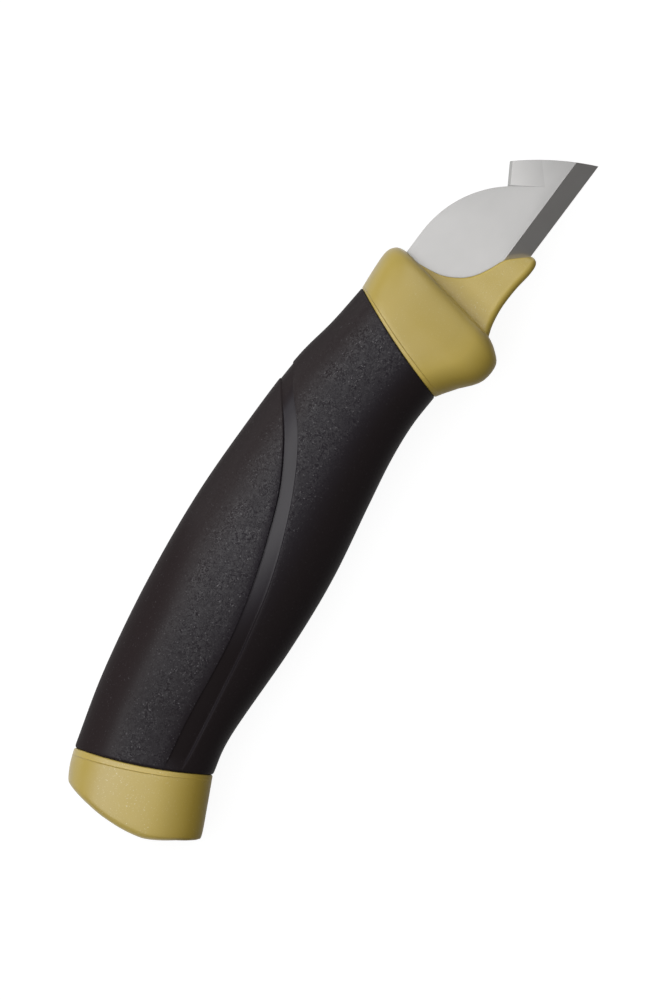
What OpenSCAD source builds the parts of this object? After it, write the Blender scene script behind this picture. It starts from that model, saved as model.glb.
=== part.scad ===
// Electrician's knife: a fixed stub blade, moulded into a hard plastic core, with a soft rubber grip
// moulded round the core. Millimetres. The drawing frame has X along the cutting edge from the butt
// to the tip, Y from the cutting edge towards the spine, and Z across the blade's thickness.

/* [Blade] */
// Length from the butt to the blade's tip
overall_l = 160; // [156:1:172]
// Width of the blade from cutting edge to spine
blade_w = 20; // [18:0.5:20]
// Thickness of the blade steel
blade_t = 2; // [1.5:0.1:2.5]
// Width of the ground bevel on each side of the cutting edge
bevel_w = 3.7; // [2.4:0.1:4.4]
// Thickness left at the cutting edge
edge_t = 0.1; // [0.05:0.05:0.3]
// Distance from the tip back to the outer corner of the ripping head
head_back = 9.6; // [8:0.1:11]
// Height of the ripping head's outer corner above the cutting edge
head_up = 14.5; // [13:0.1:16]
// Distance from the tip back to the notch behind the ripping head
notch_back = 13.8; // [12.5:0.1:16]
// Height of the notch above the cutting edge
notch_up = 11.9; // [10.5:0.1:12.5]
// Radius of the spine where it falls to the notch
spine_r = 22.3; // [18:0.1:28]
// Radius of the convex front end of the blade
front_r = 56; // [40:1:120]
// Depth of the relief ground into each side of the ripping head
relief_d = 0.2; // [0.1:0.05:0.4]

/* [Tang] */
// Length of the tang behind the blade's shoulders
tang_l = 82; // [60:1:90]
// Width of the tang at the shoulders
tang_w = 9.5; // [7:0.5:11]
// Width of the tang at its tail
tail_w = 7; // [5:0.5:7]
// Diameter of the keying holes that the core's plastic fills
key_d = 4; // [2:0.5:4.5]

/* [Handle] */
// Length of the handle from the butt to the ferrule's front
handle_l = 124; // [118:1:130]
// Depth of the handle from belly to spine at the swell
handle_h = 32; // [31.5:0.5:35]
// Thickness of the handle at the swell
handle_t = 23.5; // [21:0.5:27]
// Wall of the rubber grip over the core
grip_wall = 3.6; // [2.4:0.1:4]
// Height of the core's ribs that key the rubber
rib_h = 1.2; // [0.6:0.1:1.4]

/* [Groove] */
// Width of the smooth groove along each side of the grip
groove_w = 3; // [2:0.1:4]
// Depth of the groove
groove_d = 0.5; // [0.3:0.05:0.7]

/* [Hidden] */
$fn = 96;
eps = 0.01;
steel = [0.77, 0.77, 0.78];
olive = [0.70, 0.63, 0.37];
black = [0.16, 0.15, 0.16];

// Blade points, from the tip backwards
tip = [overall_l, 0];
head = tip + [-head_back, head_up];
notch = tip + [-notch_back, notch_up];
arc_drop = spine_r - (blade_w - notch.y);
spine_c = [notch.x - sqrt(pow(spine_r, 2) - pow(arc_drop, 2)), blade_w - spine_r];
front_c = arc_centre(tip, head, front_r);
head_turn = atan2(tip.y - head.y, tip.x - head.x);
// The head's relief: how far it runs from the notch along the front end, and how far it reaches forward
relief_run = 6.4;
relief_reach = 8;

// Tang points: the blade keeps its full width for a short way inside the ferrule
root_l = 6;
shoulder_x = handle_l - root_l;
tail_x = shoulder_x - tang_l;
shoulder_y = blade_w * 0.51;
tail_y = blade_w * 0.32;
key_share = [0.22, 0.5, 0.78];

// Handle lines, from the lug's nose to the butt. A row is one section across the handle:
// [spine x, spine y, belly x, belly y, half thickness, squareness, bow towards the butt].
// They are drawn for this length, depth and thickness, and stretch with the driving sizes.
drawn_size = [124, 32, 23.5];
lug_lines = [
    [138.0, -0.2, 138.0, -0.8, 1.6, 3, 0],
    [137.4, 0.5, 137.6, -1.5, 2.4, 4, 0],
    [136.4, 1.6, 136.6, -1.9, 2.8, 5, 0],
    [134.2, 3.7, 134.6, -1.9, 3.0, 6, 0],
    [131.2, 5.0, 131.2, -1.5, 3.0, 6, 0],
    [128.3, 6.6, 127.6, -1.4, 3.1, 6, 0],
    [126.2, 8.7, 125.0, -1.6, 3.1, 7, 0],
    [124.4, 12.1, 122.4, -2.1, 3.2, 8, 0],
    [123.6, 17.0, 120.4, -2.8, 3.2, 8, 0]
];
ferrule_lines = [
    [124.2, 20.6, 120.3, -3.2, 7.2, 3.4, 0],
    [123.5, 22.3, 119.1, -5.2, 8.2, 3.4, 0],
    [121.6, 23.3, 116.8, -7.3, 9.2, 3.3, 0],
    [117.6, 23.2, 112.5, -7.0, 10.4, 3.1, 0.2],
    [114.8, 22.95, 108.0, -3.6, 10.95, 2.9, 0.5]
];
grip_lines = [
    [113.2, 22.8, 104.6, -1.45, 11.2, 2.7, 0.65],
    [104.5, 23.5, 97.5, -1.3, 11.1, 2.6, 0.4],
    [95.0, 24.85, 89.5, -2.1, 11.2, 2.5, 0.15],
    [82.0, 25.1, 79.8, -3.9, 11.45, 2.4, 0],
    [62.0, 24.45, 64.0, -6.95, 11.75, 2.3, 0],
    [42.0, 22.05, 48.0, -8.55, 11.55, 2.4, 0],
    [23.0, 18.3, 28.0, -9.35, 11.0, 2.5, 0.5],
    [7.5, 13.85, 19.5, -11.1, 10.4, 2.6, 0.9]
];
butt_lines = [
    [4.8, 12.8, 14.2, -13.8, 10.4, 2.6, 1.9],
    [2.6, 11.6, 8.9, -16.4, 10.2, 2.7, 3.2],
    [1.6, 10.8, 7.7, -16.3, 9.9, 2.8, 3.5],
    [1.2, 9.9, 6.9, -15.5, 9.2, 2.8, 3.6]
];
// How much fuller each section is towards the spine
egg = 0.07;

// Each part's run of lines at its driven size. The runs meet at the rubber's end rows.
grip_last = len(grip_lines) - 1;
lug_run = [for (row = lug_lines) stretched(row)];
front_run = [for (row = concat(ferrule_lines, [grip_lines[0]])) stretched(row)];
grip_run = [for (row = grip_lines) stretched(row)];
butt_run = [for (row = concat([grip_lines[grip_last]], butt_lines)) stretched(row)];

// Groove: the angle round the section of its middle, from the spine, by grip station
groove_path = [
    [0, 30], [2.3, 30], [2.5, 40], [2.75, 54], [3, 67], [3.5, 86],
    [4, 98], [5, 111], [6, 118], [7, 114]
];
groove_ends = [2.35, 6.9];
groove_ramp = 0.15;
half_perimeter = 44;
groove_half = groove_w / 2 / half_perimeter * 180;
groove_wall = 1.2;

// Columns round a section, and sections between two stations
spine_cols = 7;
belly_cols = 9;
steps = 8;
cols = 2 * (spine_cols + belly_cols + 3);

// Ribs of the core under the rubber, by grip station
rib_at = [for (i = [0 : 5]) 0.7 + 1.1 * i];
rib_half = 0.14;

// Centre of the arc of radius r from p to q that bulges away from the butt
function arc_centre(p, q, r) =
    let (mid = (p + q) / 2, half = norm(q - p) / 2, along = (q - p) / norm(q - p))
    mid + [-along.y, along.x] * sqrt(r * r - half * half);

// A handle line stretched from the drawn size to the driving sizes
function stretched(row) =
    let (s = [handle_l, handle_h, handle_t])
    let (k = [for (i = [0 : 2]) s[i] / drawn_size[i]])
    [row[0] * k[0], row[1] * k[1], row[2] * k[0], row[3] * k[1], row[4] * k[2], row[5], row[6] * k[0]];

// Smooth curve through a run of lines: at a whole number t it is that row, and it ends straight
function blend(a, b, c, d, f) =
    0.5 * (2 * b + (c - a) * f + (2 * a - 5 * b + 4 * c - d) * pow(f, 2) + (3 * b - a - 3 * c + d) * pow(f, 3));
function row_of(rows, i) =
    let (last = len(rows) - 1)
    i < 0 ? 2 * rows[0] - rows[1] : i > last ? 2 * rows[last] - rows[last - 1] : rows[i];
function at(rows, t) =
    let (i = min(floor(t), len(rows) - 2))
    blend(row_of(rows, i - 1), row_of(rows, i), row_of(rows, i + 1), row_of(rows, i + 2), t - i);

// A section drawn in by d all round
function inset(row, d) =
    let (s = [row[0], row[1]], b = [row[2], row[3]], e = (s - b) / norm(s - b) * d)
    [s.x - e.x, s.y - e.y, b.x + e.x, b.y + e.y, row[4] - d, row[5], row[6]];

// Angles of the columns from spine to belly, with two on each wall of the groove
function column_angles(station) =
    let (mid = lookup(station, groove_path), lo = mid - groove_half, hi = mid + groove_half)
    concat(
        [for (i = [0 : spine_cols - 1]) lo * i / spine_cols],
        [lo, lo + groove_wall, hi - groove_wall, hi],
        [for (i = [1 : belly_cols]) hi + (180 - hi) * i / belly_cols]
    );

// How far the groove is cut into a column, 0 or 1, faded at the groove's ends
function groove_cut(station, i) =
    let (fade = min((station - groove_ends[0]) / groove_ramp, (groove_ends[1] - station) / groove_ramp))
    i == spine_cols + 1 || i == spine_cols + 2 ? groove_d * max(0, min(1, fade)) : 0;

function signed_pow(v, p) = sign(v) * pow(abs(v), p);

// One point of a section: angle a from the spine, on the side s of the blade's plane
function section_point(row, a, s) =
    let (
        spine = [row[0], row[1]],
        belly = [row[2], row[3]],
        e = (spine - belly) / 2,
        u = signed_pow(cos(a), 2 / row[5]),
        back = [-e.y, e.x] / norm(e) * row[6] * (1 - u * u),
        p = (spine + belly) / 2 + e * u + back
    )
    [p.x, p.y, s * row[4] * (1 + egg * u * (1 - u * u)) * pow(abs(sin(a)), 2 / row[5])];

// A closed ring of points round a section: down the +Z side and back up the other
function ring(row, station, grooved = false) =
    let (angles = column_angles(max(0, min(grip_last, station))), last = len(angles) - 1)
    let (cut = [for (i = [0 : last]) inset(row, grooved ? groove_cut(station, i) : 0)])
    concat(
        [for (i = [0 : last]) section_point(cut[i], angles[i], 1)],
        [for (i = [last - 1 : -1 : 1]) section_point(cut[i], angles[i], -1)]
    );

// The core's waist under the rubber, ribs and all, which is also the inside of the rubber
waist_profile = concat(
    [[0, 0]],
    [for (c = rib_at) each [[c - rib_half, 0], [c - rib_half, rib_h], [c + rib_half, rib_h], [c + rib_half, 0]]],
    [[grip_last, 0]]
);
waist_rings = [for (w = waist_profile) ring(inset(at(grip_run, w[0]), grip_wall - w[1]), w[0])];
lug_rings = [for (t = [0 : 0.5 : len(lug_run) - 1]) ring(at(lug_run, t), 0)];
ferrule_rings = [for (t = [0 : 2 / steps : len(front_run) - 1]) ring(at(front_run, t), 0)];
butt_rings = [for (t = [0 : 2 / steps : len(butt_run) - 1]) ring(at(butt_run, t), grip_last)];
sleeve_rings = [for (i = [grip_last * steps : -1 : 0]) ring(at(grip_run, i / steps), i / steps, true)];
core_rings = concat(lug_rings, ferrule_rings, waist_rings, butt_rings);

// The part's frame: origin under the middle of its box as it lies on its side
outer_points = [for (r = concat(core_rings, sleeve_rings)) each r];
low = [for (i = [0 : 2]) min([for (p = outer_points) p[i]])];
high = [for (i = [0 : 2]) max([for (p = outer_points) p[i]])];
rest_at = [-(low.x + overall_l) / 2, -(low.y + high.y) / 2, -low.z];

// Triangles between neighbouring rings; wrap joins the last ring to the first
function wall_faces(rings, wrap) = [
    for (i = [0 : len(rings) - (wrap ? 1 : 2)], j = [0 : cols - 1])
        let (a = i * cols, b = (i + 1) % len(rings) * cols, k = (j + 1) % cols)
        each [[a + j, a + k, b + k], [a + j, b + k, b + j]]
];

// Flat strips from side to side that close a ring
function cap_faces(first) = [
    for (j = [0 : cols / 2 - 1])
        let (far = (cols - j) % cols, near = cols - j - 1)
        j == 0 ? [first, first + near, first + 1]
        : j == cols / 2 - 1 ? [first + j, first + far, first + near]
        : [first + j, first + far, first + near, first + j + 1]
];
function reversed(faces) = [for (f = faces) [for (i = [len(f) - 1 : -1 : 0]) f[i]]];

// A solid through rings, closed at both ends
module loft(rings) {
    points = [for (r = rings) each r];
    end = (len(rings) - 1) * cols;
    polyhedron(points, concat(wall_faces(rings, false), cap_faces(0), reversed(cap_faces(end))));
}

// A hollow solid through a loop of rings: out along one wall and back along the other
module sleeve(rings) {
    points = [for (r = rings) each r];
    polyhedron(points, reversed(wall_faces(rings, true)));
}

// Side view of the blade: strip, falling spine, ripping head and convex front end
module blade_outline() {
    intersection() {
        translate(front_c) circle(front_r);
        union() {
            intersection() {
                translate([shoulder_x, 0]) square([overall_l - shoulder_x, blade_w]);
                union() {
                    translate([shoulder_x, 0]) square([spine_c.x - shoulder_x, blade_w]);
                    translate(spine_c) circle(spine_r);
                }
            }
            past = head + (head - notch) / 2;
            polygon([[spine_c.x, 0], notch, past, [past.x + head_back, past.y], tip + [1, 0]]);
        }
    }
}

// Side view of the tang, which narrows towards its tail
module tang_outline() {
    polygon([
        [shoulder_x + eps, shoulder_y + tang_w / 2],
        [tail_x, tail_y + tail_w / 2],
        [tail_x, tail_y - tail_w / 2],
        [shoulder_x + eps, shoulder_y - tang_w / 2]
    ]);
}

// What the grinder takes off one side of the cutting edge
module bevel_cut() {
    slope = (blade_t - edge_t) / 2 / bevel_w;
    length = overall_l - shoulder_x + 2;
    translate([shoulder_x - 1, 0, 0]) rotate([90, 0, 90]) linear_extrude(length)
        polygon([[-1, edge_t / 2 - slope], [bevel_w, blade_t / 2], [bevel_w, blade_t], [-1, blade_t]]);
}

// What the grinder takes off one side of the ripping head: deepest at the notch, nothing at its far end
module relief_cut() {
    past = relief_d / relief_run * relief_reach;
    translate([notch.x, notch.y, 0]) rotate([0, 0, head_turn]) rotate([90, 0, 0])
        translate([0, 0, -relief_reach]) linear_extrude(relief_reach)
            polygon([
                [-relief_reach, blade_t / 2 - relief_d - past],
                [relief_run, blade_t / 2],
                [-relief_reach, blade_t]
            ]);
}

module blade() {
    color(steel) translate(rest_at) blade_solid();
}

module blade_solid() {
    difference() {
        translate([0, 0, -blade_t / 2]) linear_extrude(blade_t) {
            blade_outline();
            tang_outline();
        }
        for (side = [0, 1]) mirror([0, 0, side]) {
            bevel_cut();
            relief_cut();
        }
        for (share = key_share)
            translate([shoulder_x - share * tang_l, shoulder_y + (tail_y - shoulder_y) * share, -blade_t])
                cylinder(d = key_d, h = 2 * blade_t);
    }
}

// Lug, ferrule, ribbed waist and butt: one hard moulding round the tang
module handle_core() {
    color(olive) translate(rest_at) difference() {
        loft(core_rings);
        blade_solid();
    }
}

// Soft sleeve between the ferrule and the butt, keyed on the core's ribs
module rubber_grip() {
    color(black) translate(rest_at) sleeve(concat(sleeve_rings, waist_rings));
}

blade();
handle_core();
rubber_grip();
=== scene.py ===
"""Looks of an electrician's knife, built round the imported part.

A ground steel blade sits in a hard olive core, and a soft black sleeve is moulded round the core.
Lengths are millimetres in the drawing frame: X runs along the cutting edge from the butt to the tip,
Y from the cutting edge towards the spine, and Z across the blade's thickness. Datum turns them into
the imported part's own frame, in metres.
"""

import logging
import math
from collections.abc import Callable, Iterator
from contextlib import contextmanager
from dataclasses import dataclass, field
from enum import Enum
from typing import ClassVar

import bpy
import numpy as np
from mathutils import Matrix, Vector


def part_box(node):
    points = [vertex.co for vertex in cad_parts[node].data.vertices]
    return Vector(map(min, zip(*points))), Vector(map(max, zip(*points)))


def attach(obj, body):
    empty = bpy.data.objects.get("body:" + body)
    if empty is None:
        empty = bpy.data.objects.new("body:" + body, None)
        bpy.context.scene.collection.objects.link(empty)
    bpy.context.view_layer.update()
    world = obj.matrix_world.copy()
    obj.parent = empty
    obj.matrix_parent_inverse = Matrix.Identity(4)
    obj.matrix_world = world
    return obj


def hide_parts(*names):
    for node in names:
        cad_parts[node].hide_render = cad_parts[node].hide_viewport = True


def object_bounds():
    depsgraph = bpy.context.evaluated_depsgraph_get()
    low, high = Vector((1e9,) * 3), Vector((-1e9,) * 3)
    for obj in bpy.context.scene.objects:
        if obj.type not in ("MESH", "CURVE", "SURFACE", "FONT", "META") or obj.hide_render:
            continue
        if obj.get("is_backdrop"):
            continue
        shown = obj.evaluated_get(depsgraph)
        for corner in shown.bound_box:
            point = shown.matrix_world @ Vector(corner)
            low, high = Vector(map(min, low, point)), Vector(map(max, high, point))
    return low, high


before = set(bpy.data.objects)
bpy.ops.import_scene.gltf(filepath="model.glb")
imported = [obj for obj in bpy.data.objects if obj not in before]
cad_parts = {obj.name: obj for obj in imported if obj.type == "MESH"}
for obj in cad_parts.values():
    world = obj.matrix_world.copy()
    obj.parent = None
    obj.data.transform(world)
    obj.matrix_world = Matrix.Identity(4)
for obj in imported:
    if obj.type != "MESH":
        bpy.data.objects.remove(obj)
CAD_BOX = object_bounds()

MM = 0.001
BODY = "root"
PHOTO_SIZE = (667, 1000)
# Points closer than these are one: on a drawn outline, and on a skin
OUTLINE_WELD = 0.001 * MM
SKIN_WELD = 0.0005 * MM
# How near a plane or a wall a vertex has to be to lie on it
ON_PLANE = 0.01 * MM
ON_WALL = 0.02 * MM
# How far along an axis a face's normal has to reach for the face to look that way
FACING = 0.9

log = logging.getLogger("electricians_knife")

Pair = tuple[float, float]
Triple = tuple[float, float, float]
Colour = Triple
Table = tuple[Pair, ...]
Rows = tuple[tuple[float, ...], ...]
Ring = list[np.ndarray]


class Slot(Enum):
    """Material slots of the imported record."""

    STEEL = "blade_steel"
    OLIVE = "olive_plastic"
    RUBBER = "black_rubber"


class Face(Enum):
    """The two sides of the blade's plane."""

    UPPER = 1
    UNDER = -1


class Mark(Enum):
    """Mesh attributes that the finishes read."""

    GRAIN = "grain_amount"
    # Painted light and shade: how lit each point of a surface is painted
    TONE = "light_tone"
    FLOOR = "groove_floor"
    SATIN = "satin_amount"
    GROUND = "ground_face"
    PRESSED = "pressed_face"


def linear(code: str) -> Colour:
    """Turns a screen colour into linear light.

    Args:
        code: six hexadecimal digits, red green blue.

    Returns:
        The three linear values.
    """
    parts = [int(code[i:i + 2], 16) / 255 for i in (0, 2, 4)]
    return tuple(p / 12.92 if p <= 0.04045 else ((p + 0.055) / 1.055) ** 2.4 for p in parts)


def ramp(value: float, low: float, high: float) -> float:
    """Share of the way from low to high, held between 0 and 1."""
    return min(1.0, max(0.0, (value - low) / (high - low)))


def along(points: Table, place: float) -> float:
    """Value at a place between a table's points."""
    places, values = zip(*points)
    return float(np.interp(place, places, values))


def across(ends: Pair, turn: float) -> float:
    """Value at an angle from the spine, between the value there and the one at the belly."""
    return ends[0] + (ends[1] - ends[0]) * (1 - math.cos(turn)) / 2


@dataclass(frozen=True)
class Datum:
    """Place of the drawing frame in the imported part."""

    origin: np.ndarray

    @classmethod
    def of_blade(cls, overall: float) -> "Datum":
        """Finds the drawing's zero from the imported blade.

        Args:
            overall: length from the butt to the blade's tip, in millimetres.

        Returns:
            The datum, whose X zero is one overall length behind the tip.
        """
        low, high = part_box("blade")
        return cls(np.array((high.x - overall * MM, low.y, (low.z + high.z) / 2)))

    def row(self, x: float, y: float, z: float = 0.0) -> Vector:
        """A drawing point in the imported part's frame, in metres."""
        return Vector(self.origin + np.array((x, y, z)) * MM)

    def rows(self, points: np.ndarray) -> np.ndarray:
        """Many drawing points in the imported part's frame, in metres."""
        return self.origin + points * MM


class Bench:
    """The modelling operators, under the names a maker would use."""

    @staticmethod
    def clear() -> None:
        """Deselects every object."""
        bpy.ops.object.select_all(action="DESELECT")

    @staticmethod
    def pick(piece: bpy.types.Object) -> None:
        """Makes one object the only selected one, and active.

        Args:
            piece: the object.
        """
        Bench.clear()
        piece.select_set(True)
        bpy.context.view_layer.objects.active = piece

    @staticmethod
    @contextmanager
    def editing(piece: bpy.types.Object, everything: bool = True) -> Iterator[None]:
        """Opens a piece in edit mode.

        Args:
            piece: the object to edit.
            everything: whether all of its mesh is selected, or what the mesh has flagged.

        Returns:
            A context in which mesh operators act on the piece.
        """
        Bench.pick(piece)
        bpy.ops.object.mode_set(mode="EDIT")
        if everything:
            bpy.ops.mesh.select_all(action="SELECT")
        try:
            yield
        finally:
            bpy.ops.object.mode_set(mode="OBJECT")

    @staticmethod
    def flag(piece: bpy.types.Object, mode: str, test: Callable[[object], bool]) -> None:
        """Selects parts of a mesh by their place.

        Args:
            piece: the object.
            mode: "VERT", "EDGE" or "FACE".
            test: says whether a vertex, edge or polygon is selected.
        """
        with Bench.editing(piece):
            bpy.ops.mesh.select_mode(type=mode)
            bpy.ops.mesh.select_all(action="DESELECT")
        mesh = piece.data
        for part in {"VERT": mesh.vertices, "EDGE": mesh.edges, "FACE": mesh.polygons}[mode]:
            part.select = test(part)

    @staticmethod
    def apply(piece: bpy.types.Object, kind: str, **settings: object) -> None:
        """Adds a modifier and applies it.

        Args:
            piece: the object.
            kind: the modifier's type.
            settings: the modifier's properties.
        """
        modifier = piece.modifiers.new(kind.lower(), kind)
        for name, value in settings.items():
            setattr(modifier, name, value)
        Bench.pick(piece)
        bpy.ops.object.modifier_apply(modifier=modifier.name)

    @staticmethod
    def cut(piece: bpy.types.Object, tool: bpy.types.Object) -> None:
        """Cuts one solid out of another and throws the tool away."""
        Bench.apply(piece, "BOOLEAN", object=tool, operation="DIFFERENCE", solver="EXACT")
        bpy.data.objects.remove(tool)

    @staticmethod
    def copy(piece: bpy.types.Object, name: str) -> bpy.types.Object:
        """Copies a piece with its own mesh.

        Args:
            piece: the object to copy.
            name: the copy's name.

        Returns:
            The copy.
        """
        Bench.pick(piece)
        bpy.ops.object.duplicate()
        bpy.context.object.name = name
        return bpy.context.object

    @staticmethod
    def smooth(piece: bpy.types.Object, degrees: float) -> None:
        """Smooth shading, with edges sharper than the angle kept crisp."""
        Bench.pick(piece)
        bpy.ops.object.shade_smooth_by_angle(angle=math.radians(degrees))

    @staticmethod
    def skin(name: str, rings: list[Ring], datum: Datum, marks: dict[Mark, list[list[float]]],
             hollow: bool = False) -> bpy.types.Object:
        """Wraps a grid round a row of rings.

        Args:
            name: the piece's name.
            rings: closed rings of drawing points, all with the same number of points.
            datum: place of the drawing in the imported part.
            marks: values for each point of each ring, by attribute.
            hollow: whether the last ring joins the first, as on a sleeve.

        Returns:
            The closed mesh object, with its normals outwards.
        """
        cols = len(rings[0])
        order = [*range(len(rings)), *([0] if hollow else [])]
        Bench.clear()
        bpy.ops.mesh.primitive_grid_add(
            x_subdivisions=cols, y_subdivisions=len(order) - 1, calc_uvs=False
        )
        piece = bpy.context.object
        piece.name = name
        points = np.array([[*rings[i], rings[i][0]] for i in order]).reshape(-1, 3)
        piece.data.vertices.foreach_set("co", datum.rows(points).astype(np.float32).ravel())
        for mark, values in marks.items():
            attribute = piece.data.attributes.new(mark.value, "FLOAT", "POINT")
            attribute.data.foreach_set("value", [v for i in order for v in (*values[i], values[i][0])])
        with Bench.editing(piece):
            bpy.ops.mesh.remove_doubles(threshold=SKIN_WELD)
            bpy.ops.mesh.normals_make_consistent(inside=False)
        return piece


class Pen:
    """Draws a flat outline as by hand: one vertex pulled along lines and spun along arcs."""

    def __init__(self, name: str, datum: Datum, start: Pair, height: float) -> None:
        """Sets the pen down.

        Args:
            name: the new object's name.
            datum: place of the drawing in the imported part.
            start: the outline's first point.
            height: Z of the outline's plane.
        """
        self.datum = datum
        self.height = height
        self.at = start
        Bench.clear()
        bpy.ops.mesh.primitive_plane_add(size=MM, location=(0, 0, 0))
        self.piece = bpy.context.object
        self.piece.name = name
        bpy.ops.object.mode_set(mode="EDIT")
        bpy.ops.mesh.merge(type="CENTER")
        bpy.ops.transform.translate(value=datum.row(*start, height))

    def line(self, to: Pair) -> None:
        """Pulls the pen straight to a point.

        Args:
            to: the point.
        """
        step = Vector((to[0] - self.at[0], to[1] - self.at[1], 0)) * MM
        bpy.ops.mesh.extrude_vertices_move(TRANSFORM_OT_translate={"value": step})
        self.at = to

    def arc(self, centre: Pair, to: Pair, steps: int) -> None:
        """Spins the pen round a centre to a point, the short way.

        Args:
            centre: the arc's centre.
            to: the arc's end.
            steps: segments along it.
        """
        start = math.atan2(self.at[1] - centre[1], self.at[0] - centre[0])
        end = math.atan2(to[1] - centre[1], to[0] - centre[0])
        turn = (end - start + math.pi) % (2 * math.pi) - math.pi
        bpy.ops.mesh.spin(
            steps=steps, angle=-turn, center=self.datum.row(*centre, self.height), axis=(0, 0, 1)
        )
        self.at = to

    def solid(self, height: float) -> bpy.types.Object:
        """Closes the outline and pulls it up into a solid.

        Args:
            height: how far it is pulled along Z.

        Returns:
            The solid's object.
        """
        bpy.ops.mesh.select_all(action="SELECT")
        bpy.ops.mesh.remove_doubles(threshold=OUTLINE_WELD)
        bpy.ops.mesh.edge_face_add()
        bpy.ops.mesh.extrude_region_move(TRANSFORM_OT_translate={"value": (0, 0, height * MM)})
        bpy.ops.mesh.select_all(action="SELECT")
        bpy.ops.mesh.normals_make_consistent(inside=False)
        bpy.ops.object.mode_set(mode="OBJECT")
        return self.piece


class Sketch:
    """A node tree under construction."""

    def __init__(self, tree: bpy.types.NodeTree) -> None:
        """Keeps the tree that nodes are added to."""
        self.tree = tree

    def feed(self, node: bpy.types.Node, inputs: dict[str | int, object]) -> bpy.types.Node:
        """Links sockets to a node's inputs, and sets plain values on them.

        Args:
            node: the node.
            inputs: sockets or values, by the input's name or index.

        Returns:
            The node.
        """
        for name, value in inputs.items():
            if isinstance(value, bpy.types.NodeSocket):
                self.tree.links.new(value, node.inputs[name])
            else:
                node.inputs[name].default_value = value
        return node

    def add(
        self, kind: str, inputs: dict[str | int, object] | None = None, **settings: object
    ) -> bpy.types.Node:
        """Adds a node.

        Args:
            kind: the node's type name.
            inputs: sockets or values for its inputs, by name or index.
            settings: the node's own properties.

        Returns:
            The node.
        """
        node = self.tree.nodes.new(kind)
        for name, value in settings.items():
            setattr(node, name, value)
        return self.feed(node, inputs or {})

    def math(self, operation: str, *values: object) -> bpy.types.NodeSocket:
        """Adds a Math node and gives its result."""
        return self.add("ShaderNodeMath", dict(enumerate(values)), operation=operation).outputs[0]

    def remap(self, value: object, old: Pair, new: Pair = (0.0, 1.0)) -> bpy.types.NodeSocket:
        """Adds a clamped Map Range node.

        Args:
            value: what is mapped.
            old: the range it comes from.
            new: the range it goes to.

        Returns:
            The node's result.
        """
        names = ("Value", "From Min", "From Max", "To Min", "To Max")
        return self.add("ShaderNodeMapRange", dict(zip(names, (value, *old, *new)))).outputs[0]

    def noise(
        self, place: object, scale: object, detail: float = 2.0, twist: float = 0.0
    ) -> bpy.types.NodeSocket:
        """Adds a Noise texture, twisted or plain, and gives its value."""
        inputs = {"Vector": place, "Scale": scale, "Detail": detail, "Distortion": twist}
        return self.add("ShaderNodeTexNoise", inputs).outputs["Fac"]

    def stretch(self, place: object, scale: Triple) -> bpy.types.NodeSocket:
        """Adds a Mapping node that stretches a place along its axes."""
        return self.add("ShaderNodeMapping", {"Vector": place, "Scale": scale}).outputs[0]

    def mix(self, share: object, first: object, second: object) -> bpy.types.NodeSocket:
        """Adds a colour Mix node.

        Args:
            share: how much of the second there is.
            first: a socket or a plain colour.
            second: a socket or a plain colour.

        Returns:
            The mixed colour.
        """
        ends = [(*end, 1) if isinstance(end, tuple) else end for end in (first, second)]
        share_at, first_at, second_at, mixed_at = 0, 6, 7, 2
        inputs = {share_at: share, first_at: ends[0], second_at: ends[1]}
        return self.add("ShaderNodeMix", inputs, data_type="RGBA").outputs[mixed_at]

    def bump(self, height: bpy.types.NodeSocket, distance: float) -> bpy.types.NodeSocket:
        """Adds a Bump node, whose distance is in metres, and gives its normal."""
        inputs = {"Height": height, "Strength": 1.0, "Distance": distance}
        return self.add("ShaderNodeBump", inputs).outputs[0]

    def place(self) -> bpy.types.NodeSocket:
        """Adds a Texture Coordinate node and gives the piece's own coordinates."""
        return self.add("ShaderNodeTexCoord").outputs["Object"]

    def mark(self, mark: Mark) -> bpy.types.NodeSocket:
        """Adds an Attribute node and gives the mark's value."""
        return self.add("ShaderNodeAttribute", attribute_name=mark.value).outputs["Fac"]

    def grain(self, place: object, size: float, amount: object) -> bpy.types.NodeOutputs:
        """Places the moulded grain group.

        Args:
            place: the coordinates it lies on.
            size: the grain's size in metres.
            amount: how strong it is, from 0 to 1.

        Returns:
            The group's outputs.
        """
        inputs = {"Place": place, "Grain Size": size, "Amount": amount}
        return self.add("ShaderNodeGroup", inputs, node_tree=moulded_grain()).outputs

    def clouds(self, place: object, size: float, amount: float) -> bpy.types.NodeSocket:
        """Places the soft clouds group.

        Args:
            place: the coordinates it lies on.
            size: the clouds' size in metres.
            amount: how strong they are, from 0 to 1.

        Returns:
            The clouds' share.
        """
        inputs = {"Place": place, "Cloud Size": size, "Amount": amount}
        return self.add("ShaderNodeGroup", inputs, node_tree=soft_clouds()).outputs["Share"]


def new_group(name: str, size: str, outputs: tuple[str, ...]) -> Sketch:
    """Makes an empty node group that takes a place, a size and an amount.

    Args:
        name: the group's name.
        size: name of its size input.
        outputs: names of its outputs, which are plain values.

    Returns:
        A sketch of the group's tree.
    """
    group = bpy.data.node_groups.new(name, "ShaderNodeTree")
    group.interface.new_socket("Place", in_out="INPUT", socket_type="NodeSocketVector")
    for value in (size, "Amount"):
        group.interface.new_socket(value, in_out="INPUT", socket_type="NodeSocketFloat")
    for value in outputs:
        group.interface.new_socket(value, in_out="OUTPUT", socket_type="NodeSocketFloat")
    return Sketch(group)


# Noise values between which most of a noise lies
NOISE_BAND = (0.3, 0.7)
# Moulded grain: its pits' twist, and the scales of its peaks and its patches against its pits
PIT_TWIST = 1.5
PEAK_SCALE = 1.4
PATCH_SCALE = 0.16
# Moulded grain: noise values at a patch's edge, the amount outside and in it, and a speck's noise values
PATCH_NOISE = (0.4, 0.6)
PATCH_AMOUNT = (0.5, 1.2)
SPECK_NOISE = (0.64, 0.78)


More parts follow.
